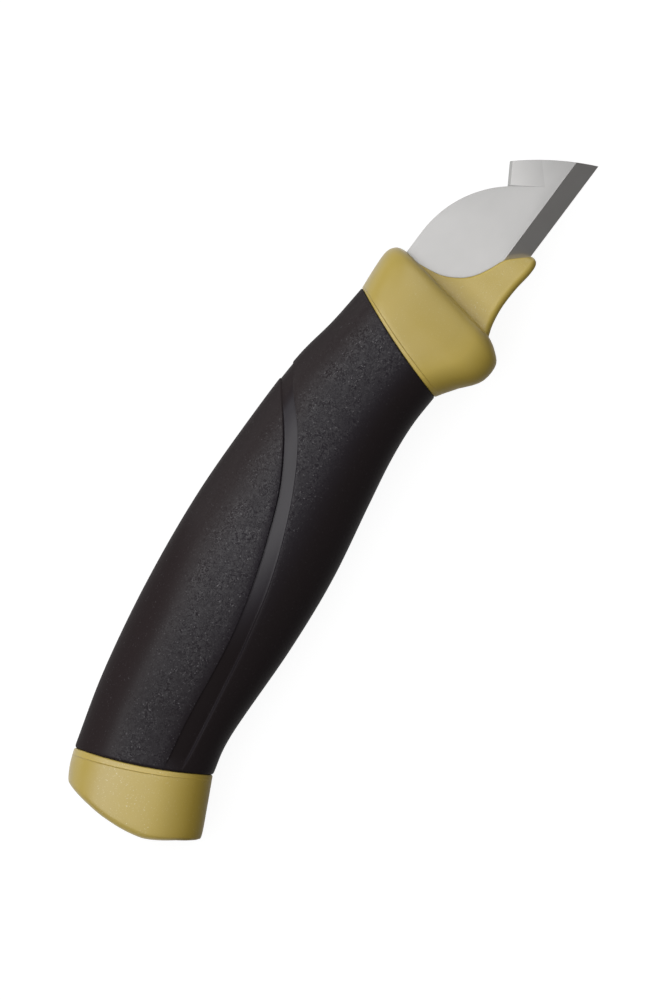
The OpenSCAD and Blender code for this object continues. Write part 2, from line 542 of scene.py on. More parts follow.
def moulded_grain() -> bpy.types.NodeTree:
    """Makes the node group for a spark-eroded mould's grain.

    Returns:
        A group that takes a place, a grain size in metres and an amount, and gives a height about
        one half, patchy as on a mould that has lost its grain in places, and a mask of the bright
        specks on the grain's peaks, partly the peaks' paler colour and partly painted glints.
    """
    name = "moulded_grain"
    if name in bpy.data.node_groups:
        return bpy.data.node_groups[name]
    sketch = new_group(name, "Grain Size", ("Height", "Specks"))
    given = sketch.add("NodeGroupInput").outputs
    place = given["Place"]
    scale = sketch.math("DIVIDE", 1.0, given["Grain Size"])
    pits = sketch.noise(place, scale, twist=PIT_TWIST)
    peaks = sketch.noise(place, sketch.math("MULTIPLY", scale, PEAK_SCALE), detail=1.0)
    spread = sketch.noise(place, sketch.math("MULTIPLY", scale, PATCH_SCALE))
    amount = sketch.math("MULTIPLY", given["Amount"], sketch.remap(spread, PATCH_NOISE, PATCH_AMOUNT))
    relief = sketch.math("MULTIPLY", sketch.math("SUBTRACT", pits, 0.5), amount)
    specks = sketch.math("MULTIPLY", sketch.remap(peaks, SPECK_NOISE), amount)
    sketch.add("NodeGroupOutput", {"Height": sketch.math("ADD", relief, 0.5), "Specks": specks})
    return sketch.tree


def soft_clouds() -> bpy.types.NodeTree:
    """Makes the node group for a surface's faint cloudy shading.

    Returns:
        A group that takes a place, a cloud size in metres and an amount, and gives a share.
    """
    name = "soft_clouds"
    if name in bpy.data.node_groups:
        return bpy.data.node_groups[name]
    sketch = new_group(name, "Cloud Size", ("Share",))
    given = sketch.add("NodeGroupInput").outputs
    spread = sketch.noise(given["Place"], sketch.math("DIVIDE", 1.0, given["Cloud Size"]))
    share = sketch.math("MULTIPLY", sketch.remap(spread, NOISE_BAND), given["Amount"])
    sketch.add("NodeGroupOutput", {"Share": share})
    return sketch.tree


@dataclass(frozen=True)
class Finish:
    """What every finish has: a name, a slot of the record and a shader."""

    name: str
    slot: Slot

    def start(self) -> tuple[bpy.types.Material, Sketch, bpy.types.Node]:
        """Makes an empty material.

        Returns:
            The material, a sketch of its tree and its Principled shader.
        """
        material = bpy.data.materials.new(self.name)
        material.use_nodes = True
        tree = material.node_tree
        return material, Sketch(tree), tree.nodes["Principled BSDF"]


@dataclass(frozen=True)
class SatinSteel(Finish):
    """Stainless strip with a satin flat and a ground edge."""

    flat: Colour = linear("B0AFAE")
    ground: Colour = linear("DAD7D4")
    dull: Colour = linear("A8A7A6")
    pressed: Colour = linear("C2C2C0")
    shade: Colour = linear("000000")
    half_pressed: float = 0.5
    pressed_metal: float = 0.1
    roughness: float = 0.3
    rough_spread: float = 0.012
    streak: float = 0.3 * MM
    lengthwise: Triple = (0.03, 1, 1)
    crosswise: Triple = (1, 0.05, 0.05)
    cloud: float = 7 * MM
    cloud_amount: float = 0.06

    def material(self) -> bpy.types.Material:
        """Builds the steel.

        Returns:
            The material, with faint streaks along the strip and across the ground edge.
        """
        material, sketch, shader = self.start()
        place = sketch.place()
        ground = sketch.mark(Mark.GROUND)
        pressed = sketch.mark(Mark.PRESSED)
        streaks = sketch.mix(ground, *(
            sketch.noise(sketch.stretch(place, scale), 1 / self.streak)
            for scale in (self.lengthwise, self.crosswise)
        ))
        steel = sketch.mix(ground, self.flat, self.ground)
        dulled = sketch.mix(sketch.remap(pressed, (0.0, self.half_pressed)), steel, self.dull)
        to_full = (self.half_pressed, 1.0)
        tone = sketch.mix(sketch.remap(pressed, to_full), dulled, self.pressed)
        rough = (self.roughness - self.rough_spread, self.roughness + self.rough_spread)
        cloud = sketch.clouds(place, self.cloud, self.cloud_amount)
        sketch.feed(shader, {
            "Base Color": sketch.mix(cloud, tone, self.shade),
            "Roughness": sketch.remap(streaks, NOISE_BAND, rough),
            "Metallic": sketch.remap(pressed, to_full, (1.0, self.pressed_metal)),
        })
        return material


@dataclass(frozen=True)
class OlivePlastic(Finish):
    """Hard moulded plastic with a satin sheen, a fine spark-eroded grain, and painted light, shade and
    glints.
    """

    # Lit and shaded copies for the painted light; a pale colour for random clouds and painted glint specks
    base: Colour = linear("D5BB5A")
    shaded: Colour = linear("A8903F")
    pale_and_glint: Colour = linear("E6DDB2")
    speck_amount: float = 0.8
    index: float = 1.2
    roughness: float = 0.5
    rough_spread: float = 0.04
    sheen_index: float = 1.75
    sheen_roughness: float = 0.4
    grain: float = 0.4 * MM
    grain_height: float = 0.05 * MM
    cloud: float = 5 * MM
    cloud_amount: float = 0.06

    def material(self) -> bpy.types.Material:
        """Builds the plastic.

        Returns:
            The material, whose painted light and shade, painted glints, sheen and grain follow the mesh's
            marks.
        """
        material, sketch, shader = self.start()
        place = sketch.place()
        grain = sketch.grain(place, self.grain, sketch.mark(Mark.GRAIN))
        cloud = sketch.clouds(place, self.cloud, self.cloud_amount)
        lit = sketch.mix(cloud, self.base, self.pale_and_glint)
        # Painted light and shade: the mark mixes the shaded copy into the lit one
        tone = sketch.mix(sketch.mark(Mark.TONE), self.shaded, lit)
        specks = sketch.math("MULTIPLY", grain["Specks"], self.speck_amount)
        rough = (self.roughness - self.rough_spread, self.roughness + self.rough_spread)
        sketch.feed(shader, {
            # Painted glints: the specks are mixed towards the pale colour
            "Base Color": sketch.mix(specks, tone, self.pale_and_glint),
            "IOR": self.index,
            "Roughness": sketch.remap(grain["Height"], NOISE_BAND, rough),
            "Coat Weight": sketch.mark(Mark.SATIN),
            "Coat IOR": self.sheen_index,
            "Coat Roughness": self.sheen_roughness,
            "Normal": sketch.bump(grain["Height"], self.grain_height),
        })
        return material


@dataclass(frozen=True)
class BlackRubber(Finish):
    """Soft matt rubber with a satin grain on its side faces, a smooth groove, and painted light and glints.
    """

    # The spine-side rim is painted lighter than the belly; the speck colour paints glints
    belly: Colour = linear("252021")
    rim: Colour = linear("312A2B")
    face: Colour = linear("211C23")
    smooth: Colour = linear("28232A")
    speck: Colour = linear("605D60")
    index: float = 1.12
    roughness: float = 0.6
    satin_roughness: float = 0.4
    satin: Pair = (0.2, 1.05)
    satin_band: Pair = (0.35, 0.65)
    floor_band: Pair = (0.4, 0.8)
    grain: float = 0.55 * MM
    grain_height: float = 0.09 * MM

    def material(self) -> bpy.types.Material:
        """Builds the rubber.

        Returns:
            The material, satin, grained and with painted light by the mesh's marks, and smooth on the
            groove's floor.
        """
        material, sketch, shader = self.start()
        floor = sketch.remap(sketch.mark(Mark.FLOOR), self.floor_band)
        bare = sketch.math("SUBTRACT", 1.0, floor)
        grained = sketch.math("MULTIPLY", sketch.mark(Mark.GRAIN), bare)
        grain = sketch.grain(sketch.place(), self.grain, grained)
        # Painted light: the mark mixes the lighter rim colour in towards the spine
        light = sketch.mark(Mark.TONE)
        satin = sketch.mark(Mark.SATIN)
        edge, side = (sketch.mix(light, colour, self.rim) for colour in (self.belly, self.face))
        tone = sketch.mix(satin, edge, sketch.mix(floor, side, self.smooth))
        mottle = sketch.remap(grain["Height"], self.satin_band, self.satin)
        sketch.feed(shader, {
            # Painted glints: the grain's specks are mixed towards the speck colour
            "Base Color": sketch.mix(grain["Specks"], tone, self.speck),
            "IOR": self.index,
            "Roughness": self.roughness,
            "Coat Weight": sketch.math("MULTIPLY", satin, sketch.math("MAXIMUM", mottle, floor)),
            "Coat Roughness": self.satin_roughness,
            "Normal": sketch.bump(grain["Height"], self.grain_height),
        })
        return material


# How far the butt's end stands out from an even bow, by share from the belly to the spine
TRIM_SHARE = (-1.0, -0.77, -0.42, -0.3, -0.1, 0.23, 0.62, 1.0)
TRIM = (0.0, -0.2, 0.2, 0.27, 0.05, -0.22, -0.26, 0.0)


@dataclass(frozen=True)
class Station:
    """One section across the handle, as a rounded outline between spine and belly."""

    spine: np.ndarray
    belly: np.ndarray
    half: float
    square: float
    bow: float
    trim: float
    egg: float = 0.07
    skin: float = 0.04

    @classmethod
    def of(cls, row: np.ndarray) -> "Station":
        """Reads a row of the handle's lines."""
        return cls(row[0:2], row[2:4], *row[4:8])

    def share(self, turn: float) -> Pair:
        """Where a direction meets the unit section.

        Args:
            turn: angle from the spine, in radians; past half a turn is the under side.

        Returns:
            The shares towards the spine and across the thickness.
        """
        toward, aside = math.cos(turn), math.sin(turn)
        reach = (abs(toward) ** self.square + abs(aside) ** self.square) ** (-1 / self.square)
        return toward * reach, aside * reach

    def point(self, turn: float, sink: float = 0.0) -> np.ndarray:
        """A point of the section's outline.

        Args:
            turn: angle from the spine, in radians.
            sink: how far under the surface.

        Returns:
            The drawing point.
        """
        u, w = self.share(turn)
        sink += self.skin
        depth = np.linalg.norm(self.spine - self.belly)
        axis = (self.spine - self.belly) / depth
        bulge = self.bow * (1 - u * u) + self.trim * float(np.interp(u, TRIM_SHARE, TRIM))
        back = np.array((-axis[1], axis[0])) * bulge
        flat = (self.spine + self.belly) / 2 + axis * (depth / 2 - sink) * u + back
        return np.array((*flat, (self.half - sink) * (1 + self.egg * u * (1 - u * u)) * w))


@dataclass(frozen=True)
class Lines:
    """A smooth run of sections. At a whole number it is that row, and it runs straight out at its ends.

    A row is spine x, spine y, belly x, belly y, half thickness, squareness, bow towards the butt, and
    how much of the end's trim it has.
    """

    rows: np.ndarray

    def numbers(self, t: float) -> np.ndarray:
        """The row's numbers at a place along the run.

        Args:
            t: the place, counted in rows.

        Returns:
            The row's numbers.
        """
        rows = (2 * self.rows[0] - self.rows[1], *self.rows, 2 * self.rows[-1] - self.rows[-2])
        i = min(max(int(math.floor(t)), 0), len(self.rows) - 2)
        a, b, c, d = rows[i:i + 4]
        f = t - i
        bend = (2 * a - 5 * b + 4 * c - d) * f**2 + (3 * b - a - 3 * c + d) * f**3
        return 0.5 * (2 * b + (c - a) * f + bend)

    def at(self, t: float) -> Station:
        """The section at a place along the run."""
        return Station.of(self.numbers(t))

    def point(self, t: float, turn: float, sink: float = 0.0) -> np.ndarray:
        """A surface point at a place along the run and an angle from the spine."""
        return self.at(t).point(turn, sink)

    def beside(self, row: int, step: int, turn: float, distance: float) -> float:
        """The place along the run at a distance from a row.

        Args:
            row: the row.
            step: 1 towards the butt, -1 towards the blade.
            turn: angle from the spine, in radians.
            distance: millimetres along the surface.

        Returns:
            The place, counted in rows.
        """
        span = np.linalg.norm(self.point(row + step, turn) - self.point(row, turn))
        return row + step * distance / span


def corner(start: np.ndarray, knee: np.ndarray, end: np.ndarray, share: float) -> np.ndarray:
    """A point on the curve that rounds a corner.

    Args:
        start: where the rounding begins.
        knee: the sharp corner.
        end: where the rounding ends.
        share: how far along, from 0 to 1.

    Returns:
        The rounded point.
    """
    return (1 - share) ** 2 * start + 2 * share * (1 - share) * knee + share**2 * end


@dataclass
class Handle:
    """The handle's lines, which the core and the sleeve share."""

    ferrule: Rows = (
        (124.2, 20.6, 120.3, -3.2, 7.2, 3.4, 0, 0),
        (123.5, 22.3, 119.1, -5.2, 8.2, 3.4, 0, 0),
        (121.6, 23.3, 116.8, -7.3, 9.2, 3.3, 0, 0),
        (117.6, 23.2, 112.5, -7.0, 10.4, 3.1, 0.2, 0),
        (114.8, 22.95, 108.0, -3.6, 10.95, 2.9, 0.5, 0),
    )
    grip: Rows = (
        (113.2, 22.8, 104.6, -1.45, 11.2, 2.7, 0.65, 0),
        (104.5, 23.5, 97.5, -1.3, 11.1, 2.6, 0.4, 0),
        (95.0, 24.85, 89.5, -2.1, 11.2, 2.5, 0.15, 0),
        (82.0, 25.1, 79.8, -3.9, 11.45, 2.4, 0, 0),
        (62.0, 24.45, 64.0, -6.95, 11.75, 2.3, 0, 0),
        (42.0, 22.05, 48.0, -8.55, 11.55, 2.4, 0, 0),
        (23.0, 18.3, 28.0, -9.35, 11.0, 2.5, 0.5, 0),
        (7.5, 13.85, 19.5, -11.1, 10.4, 2.6, 0.9, 0),
    )
    butt: Rows = (
        (4.8, 12.8, 14.2, -13.8, 10.4, 2.6, 1.9, 0.5),
        (2.6, 11.6, 8.9, -16.4, 10.2, 2.7, 3.2, 1),
        (1.6, 10.8, 7.7, -16.3, 9.9, 2.8, 3.5, 1),
        (1.2, 9.9, 6.9, -15.5, 9.2, 2.8, 3.6, 1),
    )
    grip_wall: float = 3.6
    rib_height: float = 1.2
    rib_half: float = 0.14
    rib_stations: tuple[float, ...] = tuple(0.7 + 1.1 * i for i in range(6))
    front: Lines = field(init=False)
    sleeve: Lines = field(init=False)
    rear: Lines = field(init=False)

    def __post_init__(self) -> None:
        """Makes a run of each part, which meet at the sleeve's end rows."""
        self.front = Lines(np.array(self.ferrule + self.grip[:1], float))
        self.sleeve = Lines(np.array(self.grip, float))
        self.rear = Lines(np.array(self.grip[-1:] + self.butt, float))

    def waist(self, turns: Callable[[float], list[float]], slack: float) -> list[Ring]:
        """Rings of the core's ribbed waist, from the front joint to the rear one.

        Args:
            turns: gives the angles of a ring's points at a grip station.
            slack: how far under the sleeve's inner wall.

        Returns:
            The rings.
        """
        profile = [(0.0, 0.0)]
        for at in self.rib_stations:
            low, high = at - self.rib_half, at + self.rib_half
            profile += [(low, 0.0), (low, self.rib_height), (high, self.rib_height), (high, 0.0)]
        profile.append((float(len(self.grip) - 1), 0.0))
        return [
            [self.sleeve.point(s, turn, self.grip_wall - rise + slack) for turn in turns(s)]
            for s, rise in profile
        ]


# How far a joint's edge is rounded under the surface, by distance from the joint
LIP_AT = (0.0, 0.05, 0.12, 0.22, 0.36)
LIP_SINK = (0.26, 0.15, 0.06, 0.015, 0.0)
# Rounded step: share of the full depth by distance past the step's edge
STEP_AT = (-0.25, -0.1, 0.0, 0.12, 0.22, 0.35)
STEP_SHARE = (0.0, 0.04, 0.2, 0.8, 0.97, 1.0)


def lip(distance: float) -> float:
    """How far a joint's rounded edge lies under the surface."""
    return float(np.interp(distance, LIP_AT, LIP_SINK))


def step_down(distance: float) -> float:
    """Share of a step's full depth at a distance past its edge."""
    return float(np.interp(distance, STEP_AT, STEP_SHARE))


@dataclass
class Blade:
    """Stub blade with a ripping head, ground on both sides, and its hidden tang."""

    finish: SatinSteel
    datum: Datum
    overall: float = 160.0
    width: float = 20.0
    thickness: float = 2.0
    bevel: float = 3.7
    edge: float = 0.1
    head: Pair = (150.4, 14.5)
    notch: Pair = (146.2, 11.9)
    spine_radius: float = 22.3
    front_radius: float = 56.0
    relief_depth: float = 0.2
    relief_run: float = 6.4
    relief_reach: float = 8.0
    relief_slope: float = 0.25
    head_chamfer: float = 0.6
    # Mark of the head's relief. Then the Z parts of unit normals on its broken edge and on its relief,
    # and how far a ground face's normal leans towards -Y
    head_dull: float = 0.5
    broken_slope: Pair = (0.3, 0.95)
    relief_lean: Pair = (0.999, 0.99999)
    ground_tilt: float = 0.2
    shoulder: float = 118.0
    tang: float = 82.0
    tang_root: Pair = (5.45, 14.95)
    tang_tail: Pair = (2.9, 9.9)
    key_diameter: float = 4.0
    key_shares: tuple[float, ...] = (0.22, 0.5, 0.78)
    arris: float = 0.05
    arris_angle: float = 25.0
    smooth_angle: float = 10.0
    front_steps: int = 12
    spine_steps: int = 32
    key_sides: int = 48
    slack: float = 0.02
    tool: bpy.types.Object | None = field(init=False, default=None)

    def build(self) -> bpy.types.Object:
        """Draws, grinds and drills the blade.

        Returns:
            The finished piece.
        """
        piece = self.strip()
        self.grind_edge(piece)
        self.draw_tang(piece)
        self.drill_keys(piece)
        self.tool = Bench.copy(piece, "blade_slot")
        for face in Face:
            self.relieve_head(piece, face)
        self.chamfer_head(piece)
        Bench.apply(
            piece, "BEVEL", width=self.arris * MM, segments=2, limit_method="ANGLE",
            angle_limit=math.radians(self.arris_angle),
        )
        self.mark_ground(piece)
        self.mark_pressed(piece)
        Bench.smooth(piece, self.smooth_angle)
        piece.data.materials.append(self.finish.material())
        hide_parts("blade")
        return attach(piece, BODY)

    def slot_tool(self) -> bpy.types.Object:
        """The blade, a little fatter, to cut its slot in the core.

        Returns:
            The cutting tool's object.
        """
        with Bench.editing(self.tool):
            bpy.ops.transform.shrink_fatten(value=self.slack * MM)
        return self.tool

    def strip(self) -> bpy.types.Object:
        """Draws the outline and gives it the strip's thickness.

        Returns:
            The strip's object.
        """
        tip = (self.overall, 0.0)
        spine_drop = self.spine_radius - (self.width - self.notch[1])
        spine_x = self.notch[0] - math.sqrt(self.spine_radius**2 - spine_drop**2)
        pen = Pen("blade_steel", self.datum, (self.shoulder, 0.0), -self.thickness / 2)
        pen.line(tip)
        pen.arc(self.front_centre(), self.head, self.front_steps)
        pen.line(self.notch)
        spine_centre = (spine_x, self.width - self.spine_radius)
        pen.arc(spine_centre, (spine_x, self.width), self.spine_steps)
        pen.line((self.shoulder, self.width))
        return pen.solid(self.thickness)

    def front_centre(self) -> Pair:
        """Finds the centre of the convex front end's arc.

        Returns:
            The centre.
        """
        tip = np.array((self.overall, 0.0))
        head = np.array(self.head)
        chord = head - tip
        half = np.linalg.norm(chord) / 2
        inward = np.array((-chord[1], chord[0])) / (2 * half)
        centre = (tip + head) / 2 + inward * math.sqrt(self.front_radius**2 - half**2)
        return float(centre[0]), float(centre[1])

    def grind_edge(self, piece: bpy.types.Object) -> None:
        """Grinds the cutting edge from both sides.

        Args:
            piece: the blade.
        """
        rise = (self.thickness - self.edge) / 2
        for face in Face:
            with Bench.editing(piece):
                bpy.ops.mesh.bisect(
                    plane_co=self.datum.row(self.shoulder, 0.0, face.value * self.edge / 2),
                    plane_no=Vector((0, -rise, face.value * self.bevel)).normalized(),
                    use_fill=True, clear_outer=True,
                )

    def draw_tang(self, piece: bpy.types.Object) -> None:
        """Pulls the tang out of the blade's rear shoulder and tapers it.

        Args:
            piece: the blade.
        """
        back = self.datum.row(self.shoulder, 0.0).x

        def on_shoulder(polygon: bpy.types.MeshPolygon) -> bool:
            """Whether a face is the shoulder, or a part of it."""
            return polygon.normal.x < -FACING and abs(polygon.center.x - back) < ON_PLANE

        for y in self.tang_root:
            Bench.flag(piece, "FACE", on_shoulder)
            with Bench.editing(piece, everything=False):
                bpy.ops.mesh.bisect(plane_co=self.datum.row(self.shoulder, y), plane_no=(0, 1, 0))
        low, high = (self.datum.row(0, y).y for y in self.tang_root)
        Bench.flag(piece, "FACE", lambda p: on_shoulder(p) and low < p.center.y < high)
        with Bench.editing(piece, everything=False):
            bpy.ops.mesh.extrude_region_move(TRANSFORM_OT_translate={"value": (-self.tang * MM, 0, 0)})
            middle = sum(self.tang_tail) / 2
            drop = middle - sum(self.tang_root) / 2
            bpy.ops.transform.translate(value=(0, drop * MM, 0))
            taper = (self.tang_tail[1] - self.tang_tail[0]) / (self.tang_root[1] - self.tang_root[0])
            tail = self.datum.row(self.shoulder - self.tang, middle)
            bpy.ops.transform.resize(value=(1, taper, 1), center_override=tail)

    def drill_keys(self, piece: bpy.types.Object) -> None:
        """Drills the holes that the core's plastic fills.

        Args:
            piece: the blade.
        """
        root, tail = sum(self.tang_root) / 2, sum(self.tang_tail) / 2
        for share in self.key_shares:
            Bench.clear()
            bpy.ops.mesh.primitive_cylinder_add(
                vertices=self.key_sides, radius=self.key_diameter / 2 * MM, depth=2 * self.thickness * MM,
                location=self.datum.row(self.shoulder - share * self.tang, root + (tail - root) * share),
            )
            Bench.cut(piece, bpy.context.object)

    def relieve_head(self, piece: bpy.types.Object, face: Face) -> None:
        """Grinds the shallow relief behind the front end, deepest at the notch.

        Args:
            piece: the blade.
            face: which side of it.
        """
        run = np.array((self.overall, 0.0)) - np.array(self.head)
        heading = math.atan2(run[1], run[0])
        pitch = math.atan2(self.relief_depth, self.relief_run)
        Bench.clear()
        bpy.ops.mesh.primitive_cube_add(size=2 * self.relief_reach * MM)
        tool = bpy.context.object
        to_edge = Vector((0, self.relief_reach, face.value * self.relief_reach)) * MM
        with Bench.editing(tool):
            bpy.ops.transform.translate(value=to_edge)
        self.slope_wall(tool)
        tilt = Matrix.Rotation(-face.value * pitch, 4, "Y")
        turn = Matrix.Rotation(heading, 4, "Z")
        far = Vector((self.relief_run, 0, 0)) * MM
        foot = self.datum.row(*self.notch, face.value * self.thickness / 2)
        tool.matrix_world = Matrix.Translation(foot) @ turn @ Matrix.Translation(far) @ tilt
        bpy.context.view_layer.update()
        Bench.cut(piece, tool)

    def slope_wall(self, tool: bpy.types.Object) -> None:
        """Breaks the relief tool's lower edge, so that it leaves a sloped step.

        Args:
            tool: the relief tool, whose lower edge runs along X.
        """
        mesh = tool.data

        def lower(edge: bpy.types.MeshEdge) -> bool:
            """Whether an edge lies on the tool's own X axis."""
            return all(abs(c) < ON_PLANE for v in edge.vertices for c in mesh.vertices[v].co.yz)

        Bench.flag(tool, "EDGE", lower)
        with Bench.editing(tool, everything=False):
            bpy.ops.mesh.bevel(offset=self.relief_slope * MM, segments=1)

    def chamfer_head(self, piece: bpy.types.Object) -> None:
        """Breaks the edges of the ripping head's rear wall.

        Args:
            piece: the blade.
        """
        head, notch = (self.datum.row(*p) for p in (self.head, self.notch))
        wall = (head - notch).normalized()
        mesh = piece.data

        def along_wall(edge: bpy.types.MeshEdge) -> bool:
            """Finds the level edges of the wall.

            Args:
                edge: an edge of the blade.

            Returns:
                Whether it is one of them.
            """
            ends = [mesh.vertices[v].co for v in edge.vertices]
            offs = [(Vector((p.x, p.y, notch.z)) - notch) for p in ends]
            near = all((o - o.dot(wall) * wall).length < ON_WALL for o in offs)
            level = abs(ends[0].z - ends[1].z) < self.thickness / 4 * MM
            return near and level and (ends[0] - ends[1]).length > self.head_chamfer * MM

        Bench.flag(piece, "EDGE", along_wall)
        with Bench.editing(piece, everything=False):
            bpy.ops.mesh.bevel(offset=self.head_chamfer * MM, segments=1)

    def mark_ground(self, piece: bpy.types.Object) -> None:
        """Marks the faces of the ground edge, whose streaks run across.

        Args:
            piece: the blade.
        """
        mesh = piece.data
        ground = mesh.attributes.new(Mark.GROUND.value, "FLOAT", "FACE")
        tilted = [p.normal.y < -self.ground_tilt and abs(p.normal.z) > FACING for p in mesh.polygons]
        ground.data.foreach_set("value", [float(t) for t in tilted])

    def mark_pressed(self, piece: bpy.types.Object) -> None:
        """Marks the dull faces of the ripping head: its broken edge, and less so its relief.

        Args:
            piece: the blade.
        """
        tip = self.datum.row(self.overall, 0.0)
        head, notch = (self.datum.row(*p) for p in (self.head, self.notch))
        wall = head - notch
        run = (tip - head).normalized() * self.relief_run * MM

        def beside(point: Vector, line: Vector) -> bool:
            """Finds what lies along a line from the notch.

            Args:
                point: the middle of a face.
                line: the way along the line, to its end.

            Returns:
                Whether the face is beside the line.
            """
            off = (point - notch) * Vector((1, 1, 0))
            gone = off.dot(line.normalized())
            aside = (off - gone * line.normalized()).length
            return aside < 2 * self.head_chamfer * MM and 0 < gone < line.length

        amounts = []
        for polygon in piece.data.polygons:
            slope = abs(polygon.normal.z)
            steep = self.broken_slope[0] < slope < self.broken_slope[1]
            if steep and (beside(polygon.center, wall) or beside(polygon.center, run)):
                amounts.append(1.0)
            elif self.relief_lean[0] < slope < self.relief_lean[1]:
                amounts.append(self.head_dull)
            else:
                amounts.append(0.0)
        pressed = piece.data.attributes.new(Mark.PRESSED.value, "FLOAT", "FACE")
        pressed.data.foreach_set("value", amounts)


@dataclass
class HandleCore:
    """Hard moulding round the tang: lug, ferrule, ribbed waist and butt.

    Painted light and shade, satin and grain go by share across a section, from -1 at the belly to 1 at the
    spine.
    """

    finish: OlivePlastic
    datum: Datum
    handle: Handle
    # Spine x, spine y, belly x, belly y and half thickness of the lug, from its nose back
    lug: Rows = (
        (138.0, -0.2, 138.0, -0.8, 1.6),
        (137.4, 0.5, 137.6, -1.5, 2.4),
        (136.4, 1.6, 136.6, -1.9, 2.8),
        (134.2, 3.7, 134.6, -1.9, 3.0),
        (131.2, 5.0, 131.2, -1.5, 3.0),
        (128.3, 6.6, 127.6, -1.4, 3.1),
        (126.2, 8.7, 125.0, -1.6, 3.1),
        (124.4, 12.1, 122.4, -2.1, 3.2),
        (123.6, 17.0, 120.4, -2.8, 3.2),
    )
    nose_rings: Pair = (0.0, 0.6)
    nose_stops: tuple[float, ...] = (0.0, 0.12, 0.25, 0.4, 0.6, 0.8)
    lug_pitch: float = 0.2
    # Corner radii of the lug's section, the largest shares of it that they take, and where they begin
    # and end on the way from the spine to the belly
    spine_corner: float = 0.4
    belly_corner: float = 1.4
    corner_reach: Pair = (0.45, 0.5)
    corner_rise: float = 0.8
    corner_stops: tuple[float, ...] = (0.1, 0.26, 0.64, 0.9)
    # Fillet between lug and ferrule: its size at the spine and at the belly
    crease: Pair = (0.3, 1.0)
    crease_limit: float = 0.4
    crease_steps: int = 6
    # Rounded rim of the ferrule, and the rows where it ends and where the pad ends before the joint
    rim: float = 1.1
    rim_limit: float = 0.9
    rim_end: float = 0.55
    rim_steps: int = 8
    pad_end: float = 1.2
    pad_steps: int = 14
    # Land beside the sleeve: its widths at the spine and at the belly, and where its rings begin
    land_depth: float = 0.35
    front_land: Pair = (0.6, 1.2)
    rear_land: Pair = (1.4, 1.0)
    land_outer: float = 1.9
    land_edge: float = 0.5
    land_fade: float = 1.5
    # Butt: rows from the joint and from the end between which its side flares, and its rounded end
    flare: Pair = (0.75, 0.25)
    flare_steps: int = 28
    end_round: float = 0.8
    end_steps: int = 8
    end_rings: tuple[float, ...] = (0.9, 0.5, 0.0)
    # Painted light and shade by share, on the lug and ferrule, the waist and butt, and the butt's end:
    # darkest at the belly
    front_painted_light: Table = (
        (-0.9, 0.2), (-0.75, 0.5), (-0.6, 0.92), (-0.5, 0.9), (-0.35, 0.75), (0.7, 0.72), (0.9, 0.9),
    )
    rear_painted_light: Table = (
        (-0.85, 0), (-0.45, 0.6), (-0.3, 0.75), (0.1, 0.75), (0.3, 0.64), (0.5, 0.5), (0.65, 0.54),
        (0.8, 0.68), (0.95, 0.8),
    )
    end_painted_light: Table = ((-1, 0.55), (1, 0.65))
    satin: Table = ((-0.85, 0), (-0.55, 1), (0.6, 1), (0.9, 0.75))
    middle: Table = ((-0.6, 0.2), (-0.3, 1), (0.4, 1), (0.7, 0.3))
    # Painted light factors: the rim's by row (darker), the lug's and crease's (lighter), a land's step and
    # floor
    rim_painted_shade: Table = ((0.1, 1.0), (0.35, 0.55), (0.85, 0.6), (1.4, 1.0))
    lug_painted_light: float = 1.2
    crease_painted_light: float = 1.3
    land_painted_shade_and_light: Pair = (0.4, 1.2)
    # Amounts of grain; a land has one for the ferrule's and one for the butt's
    lug_grain: float = 1.0
    crease_grain: float = 0.5
    ferrule_grain: float = 0.35
    land_grain: Pair = (0.5, 1.0)
    butt_grain: float = 1.0
    end_grain: float = 0.8
    slack: float = 0.02
    smooth_angle: float = 40.0
    # Points of a ring, and the ferrule row whose section gives their shares
    cols: int = 112
    share_row: float = 2.0
    turns: list[float] = field(init=False)
    shares: list[float] = field(init=False)
    rings: list[Ring] = field(init=False, default_factory=list)
    grain: list[list[float]] = field(init=False, default_factory=list)
    painted_light_values: list[list[float]] = field(init=False, default_factory=list)

    def __post_init__(self) -> None:
        """Works out the angle of each column from the spine, and its share across the section."""
        self.turns = [2 * math.pi * j / self.cols for j in range(self.cols)]
        self.shares = [self.handle.front.at(self.share_row).share(turn)[0] for turn in self.turns]

    def build(self, slot_tool: bpy.types.Object) -> bpy.types.Object:
        """Lofts the core from nose to butt and cuts the blade's slot.

        Args:
            slot_tool: the solid that cuts the slot.

        Returns:
            The finished piece.
        """
        self.loft_lug()
        self.loft_ferrule()
        for ring in self.handle.waist(lambda station: self.turns, self.slack):
            self.lay(ring, 0.0, self.rear_painted_light)
        self.loft_butt()
        satin = [[along(self.satin, u) for u in self.shares]] * len(self.rings)
        marks = {Mark.GRAIN: self.grain, Mark.TONE: self.painted_light_values, Mark.SATIN: satin}
        piece = Bench.skin("handle_core_olive", self.rings, self.datum, marks)
        Bench.cut(piece, slot_tool)
        Bench.smooth(piece, self.smooth_angle)
        piece.data.materials.append(self.finish.material())
        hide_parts("handle_core")
        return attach(piece, BODY)

    def lay(self, ring: Ring, grain: float, tone: Table, dim: float = 1.0) -> None:
        """Adds a ring to the loft.

        Args:
            ring: its points.
            grain: amount of grain on the middle of its sides.
            tone: its painted light and shade, by share from the belly to the spine.
            dim: factor on its painted light.
        """
        self.rings.append(ring)
        self.grain.append([grain * along(self.middle, u) for u in self.shares])
        self.painted_light_values.append([dim * along(tone, u) for u in self.shares])

